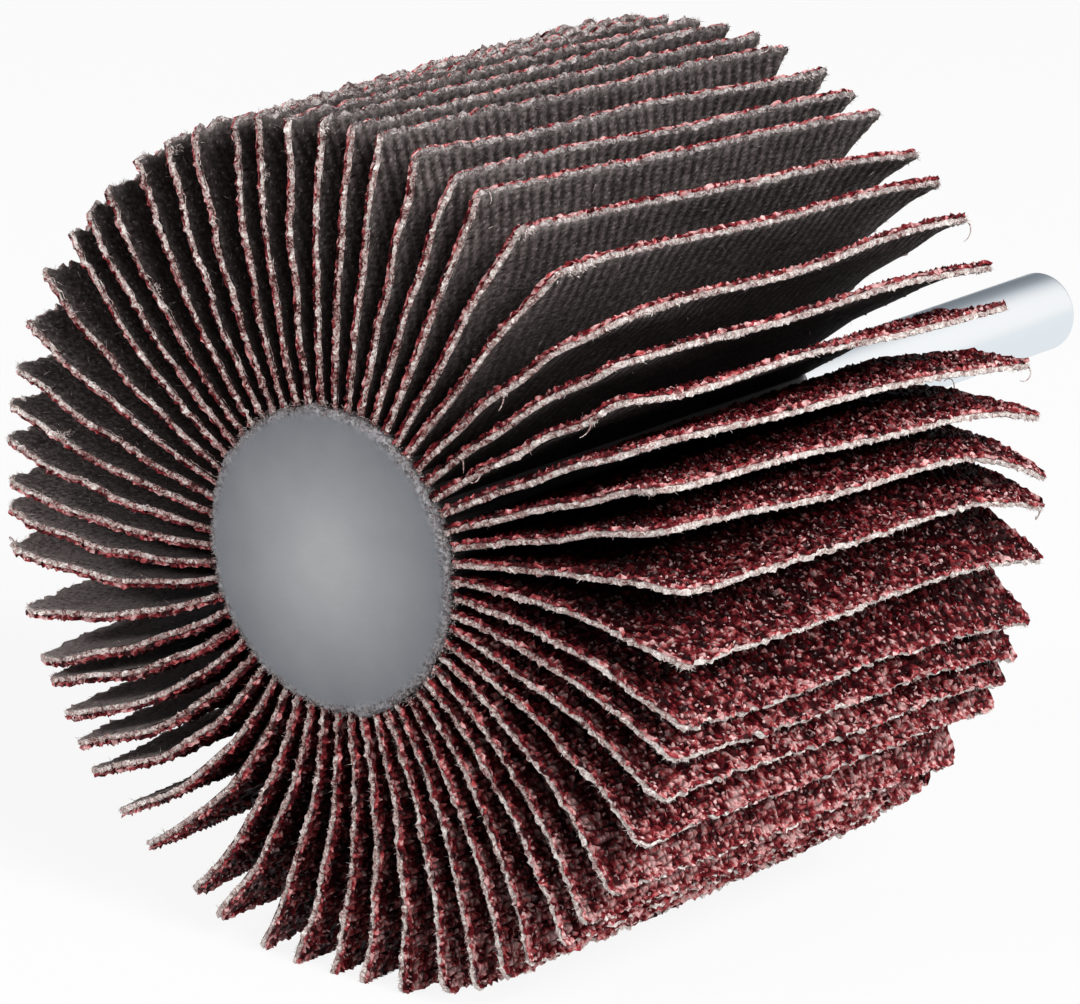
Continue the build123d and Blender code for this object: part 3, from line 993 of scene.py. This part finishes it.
coreLook = {
    "sides": 472, "dome": 0.28 * mm, "rimRound": 0.55 * mm, "roundSteps": 9,
    "domeSteps": [0.03, 0.15, 0.3, 0.45, 0.6, 0.72, 0.82, 0.9, 0.95, 0.98],     # shares of the dome's radius
    "rimInset": 0.3, "rimSteps": [1.3, 1.7, 2.2, 3.0, 4.4],      # shares of the rounding
    "rimFlare": 0.1 * mm,
    # the resin swells at the back of the flaps: millimetres past the core's side and past the flaps
    "swell": [(-0.1, -1.5), (0.0, -0.6), (0.1, -0.1), (-0.2, 0.5)],
    "collar": 5.2 * mm, "bossSteps": 8, "bossFoot": 0.9 * mm, "bossInset": 0.7 * mm,
    # it ends in a lip on the shank: shares of the shank's radius, and millimetres in from the boss's end
    "lip": [(1.25, 0.0), (1.04, 0.05), (0.97, 0.6)],
    "crustIn": 1.1 * mm, "crustBlend": 0.8 * mm,     # the rim's rough crust: where it starts and is full
    "crumb": 0.07 * mm, "wander": 0.12 * mm, "lobes": (3, 5, 8, 13, 21, 29), "lobeShare": 0.4,
    "stainIn": 1.0 * mm, "stainMost": 0.85,          # its colour: where it starts, and how strong it gets
    "rootFibres": 1500, "fibreWidth": 0.045 * mm, "fibresIn": 0.8 * mm, "fibresOut": 0.08 * mm,
    # millimetres past the core's side, and how far behind its face a fibre there starts
    "fibreDepths": [(-0.75, 0.30), (-0.3, 0.45), (0.0, 0.85)],
    "seed": 31,
}


def coreProfile():
    # from the middle of the disc, over its rim and along the core, to the boss and the shank
    look, face = coreLook, coreLow.y
    bend, collar = look["rimRound"], look["collar"]
    edge = coreRadius - bend * look["rimInset"]
    shoulder = face + look["dome"]
    profile = [(share * (edge - bend), face + look["dome"] * share ** 2) for share in look["domeSteps"]]
    profile += [(edge - bend + bend * rising, shoulder + bend * (1 - falling))
                for rising, falling in quarterRound(look["roundSteps"])]
    profile += [(edge + look["rimFlare"], shoulder + bend * share) for share in look["rimSteps"]]
    profile += [(coreRadius + out * mm, wheelBack + past * mm) for out, past in look["swell"]]
    foot = wheelBack + look["bossFoot"]
    profile += [(collar + (coreRadius - look["bossInset"] - collar) * falling,
                 foot + (coreHigh.y - foot) * rising)
                for rising, falling in quarterRound(look["bossSteps"])]
    profile += [(shankRadius * share, coreHigh.y - inward * mm) for share, inward in look["lip"]]
    return profile


def addRootFibres(build, rng):
    # frayed yarn ends that poke out of the resin all round the disc
    look, count = coreLook, coreLook["rootFibres"]
    angle = rng.uniform(0, turn, count)
    far = coreRadius + look["fibresOut"] - look["fibresIn"] * rng.random(count) ** 1.5
    at, behind = (np.array(values) * mm for values in zip(*look["fibreDepths"]))
    start = np.stack([
        far * np.sin(angle), coreLow.y + np.interp(far, coreRadius + at, behind), far * np.cos(angle)], -1)
    # they lean outward and to the front
    aim = start * [1, 0, 1] / coreRadius * 0.6 - [0, 0.9, 0] + rng.normal(0, 0.6, (count, 3))
    addSpikes(build, start, aim, rng.uniform(0.10, 0.36, count) * mm, look["fibreWidth"], rng, 0.08, 0.45)


def makeCore():
    look = coreLook
    rng = np.random.default_rng(look["seed"])
    around, radius, along = latheGrid(coreProfile(), look["sides"])
    crust = np.clip((radius - (coreRadius - look["crustIn"])) / look["crustBlend"], 0, 1)
    slow = sum(np.sin(around * lobe + rng.random() * turn) for lobe in look["lobes"]) * look["lobeShare"]
    rough = rng.normal(0, 1, radius.shape) * look["crumb"]
    radius = radius + crust * (slow * look["wander"] + rough)
    along = along + crust * rng.normal(0, 1, radius.shape) * look["crumb"]
    build = Build()
    addLathe(build, around, radius, along)
    addRootFibres(build, rng)
    piece = build.make("core_resin", [resin, resin, cutCloth])
    spots = np.concatenate(build.points)
    out = np.hypot(spots[:, 0], spots[:, 2]) - (coreRadius - look["stainIn"])
    addAttribute(piece.data, "rim", "POINT", np.clip(out / look["crustBlend"], 0, look["stainMost"]))
    # painted shade on the core behind its front face, between the flap roots
    inward = np.clip((spots[:, 1] - wheelFront + 0.35 * mm) / (0.5 * mm), 0, 1)
    addAttribute(piece.data, "buried", "POINT", inward * (spots[:, 1] < wheelBack - 0.5 * mm))
    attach(piece, "root")
    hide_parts("core")


makeCore()
print("core made")


# Shank

shankLook = {
    "sides": 96, "round": 0.75 * mm, "sunk": 2 * mm,       # how far it reaches into the resin
    "lengthSteps": 9, "roundSteps": 9, "endSteps": (0.6, 0.3, 0.1),
}


def makeShank():
    look, bend, end = shankLook, shankLook["round"], shankHigh.y
    stations = np.linspace(coreHigh.y - look["sunk"], end - bend, look["lengthSteps"])
    profile = [(shankRadius, station) for station in stations]
    profile += [(shankRadius - bend + bend * falling, end - bend + bend * rising)
                for rising, falling in quarterRound(look["roundSteps"], 0.12)]
    profile += [(shankRadius * share, end) for share in look["endSteps"]]
    build = Build()
    addLathe(build, *latheGrid(profile, look["sides"]))
    piece = build.make("shank_steel", [steel])
    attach(piece, "root")
    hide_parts("shank")


makeShank()
print("shank made")


# Camera, floor and lights

cameraLook = {
    "azimuth": 39.226, "elevation": 16.754, "distance": 463.97 * mm,
    "photoWidth": 1080, "focalPixels": 6594.6, "sensorWidth": 36.0,
    "aim": (0.0, -13.0 * mm, 0.0), "right": -5.05 * mm, "up": -2.85 * mm,
}


def towards(azimuth, elevation):
    # from the wheel out to a camera or lamp: degrees round from the front, and degrees up
    a, e = math.radians(azimuth), math.radians(elevation)
    return Vector((math.sin(a) * math.cos(e), -math.cos(a) * math.cos(e), math.sin(e)))


def makeCamera():
    look = cameraLook
    back, right = towards(look["azimuth"], look["elevation"]), towards(look["azimuth"] + 90, 0)
    up = back.cross(right)
    target = Vector(look["aim"]) + right * look["right"] + up * look["up"]
    data = bpy.data.cameras.new("camera")
    data.sensor_width = look["sensorWidth"]
    data.lens = look["focalPixels"] / look["photoWidth"] * look["sensorWidth"]
    data.clip_start, data.clip_end = 0.01, 10.0
    camera = bpy.data.objects.new("camera", data)
    bpy.context.scene.collection.objects.link(camera)
    axes = Matrix((right, up, back)).transposed().to_4x4()
    camera.matrix_world = Matrix.Translation(target + back * look["distance"]) @ axes
    bpy.context.scene.camera = camera


floorLook = {
    "paint": (0.70, 0.70, 0.70, 1), "glow": 1.05, "glowShare": 0.85,
    "tint": (0.86, 0.915, 0.95, 1),      # steel mirrors it a little blue
    "size": 3.0,
}


def makeFloor():
    look, size = floorLook, floorLook["size"]
    material, tree = newMaterial("paleFloor")
    path = addNode(tree, "ShaderNodeLightPath").outputs
    tint = colorMix(tree, path["Is Glossy Ray"], (1, 1, 1, 1), look["tint"])
    white = addNode(tree, "ShaderNodeEmission", {"Color": tint, "Strength": look["glow"]})
    paint = addNode(tree, "ShaderNodeBsdfDiffuse", {"Color": look["paint"]})
    seen = calc(tree, "MAXIMUM", path["Is Camera Ray"], path["Is Glossy Ray"])
    mix = addNode(tree, "ShaderNodeMixShader", {
        0: times(tree, seen, look["glowShare"]), 1: paint.outputs[0], 2: white.outputs[0]})
    finishMaterial(tree, mix.outputs[0])
    mesh = bpy.data.meshes.new("floor")
    corners = [(-size, -size, 0), (size, -size, 0), (size, size, 0), (-size, size, 0)]
    mesh.from_pydata(corners, [], [(0, 1, 2, 3)])
    mesh.materials.append(material)
    floor = bpy.data.objects.new("floor", mesh)
    floor.location.z = floorHeight
    bpy.context.scene.collection.objects.link(floor)


lampLook = {
    # name: azimuth, elevation, distance, width, height, power
    "keySoft": (80, 36, 0.9, 0.36, 0.36, 7.0),
    "frontSoft": (-28, 26, 1.0, 0.42, 0.24, 4.7),
    "glintSmall": (60, 26, 1.1, 0.10, 0.10, 1.6),
}


def makeLamps():
    centre = Vector((0, wheelFront / 2, 0))
    for name, (azimuth, elevation, distance, width, height, power) in lampLook.items():
        back = towards(azimuth, elevation)
        data = bpy.data.lights.new(name, "AREA")
        data.shape = "RECTANGLE"
        data.size, data.size_y, data.energy = width, height, power
        lamp = bpy.data.objects.new(name, data)
        lamp.location = centre + back * distance
        lamp.rotation_mode = "QUATERNION"
        lamp.rotation_quaternion = back.to_track_quat("Z", "Y")
        bpy.context.scene.collection.objects.link(lamp)


worldLook = {
    # soft light on everything that isn't a mirror, from the horizon to straight up
    "sky": [
        (0.0, (0.95, 0.96, 1.0)), (0.25, (0.85, 0.85, 0.87)), (0.55, (0.29, 0.29, 0.30)),
        (1.0, (0.24, 0.24, 0.25)),
    ],
    "skyLeft": 0.30, "skyRight": 0.34,       # its strength, and how much stronger it is on the right
    # what the steel mirrors, from left to right
    "room": [
        (0.16, (0.13, 0.15, 0.175)), (0.34, (0.26, 0.29, 0.32)), (0.46, (0.66, 0.70, 0.74)),
        (0.60, (1.0, 1.0, 1.0)),
    ],
}


def makeWorld():
    world = bpy.data.worlds.new("studio")
    world.use_nodes = True
    tree = world.node_tree
    tree.nodes.clear()
    path = addNode(tree, "ShaderNodeLightPath").outputs
    aim = addNode(tree, "ShaderNodeTexCoord").outputs["Generated"]
    parts = addNode(tree, "ShaderNodeSeparateXYZ", {"Vector": aim}).outputs
    right = plus(tree, 0.5, times(tree, parts["X"], 0.5))
    strength = plus(tree, worldLook["skyLeft"], times(tree, right, worldLook["skyRight"]))
    soft = addNode(tree, "ShaderNodeBackground", {
        "Color": colorSteps(tree, parts["Z"], worldLook["sky"]), "Strength": strength})
    room = addNode(tree, "ShaderNodeBackground", {
        "Color": colorSteps(tree, right, worldLook["room"]), "Strength": 1.0})
    mirrored = addNode(tree, "ShaderNodeMixShader", {
        0: path["Is Glossy Ray"], 1: soft.outputs[0], 2: room.outputs[0]})
    white = addNode(tree, "ShaderNodeBackground", {"Color": (1, 1, 1, 1), "Strength": 1.0})
    seen = calc(tree, "MAXIMUM", path["Is Camera Ray"], path["Is Transmission Ray"])
    mix = addNode(tree, "ShaderNodeMixShader", {0: seen, 1: mirrored.outputs[0], 2: white.outputs[0]})
    addNode(tree, "ShaderNodeOutputWorld", {"Surface": mix.outputs[0]})
    bpy.context.scene.world = world


makeCamera()
makeFloor()
makeLamps()
makeWorld()
bpy.context.scene.view_settings.view_transform = "Standard"
print("camera and lights set")
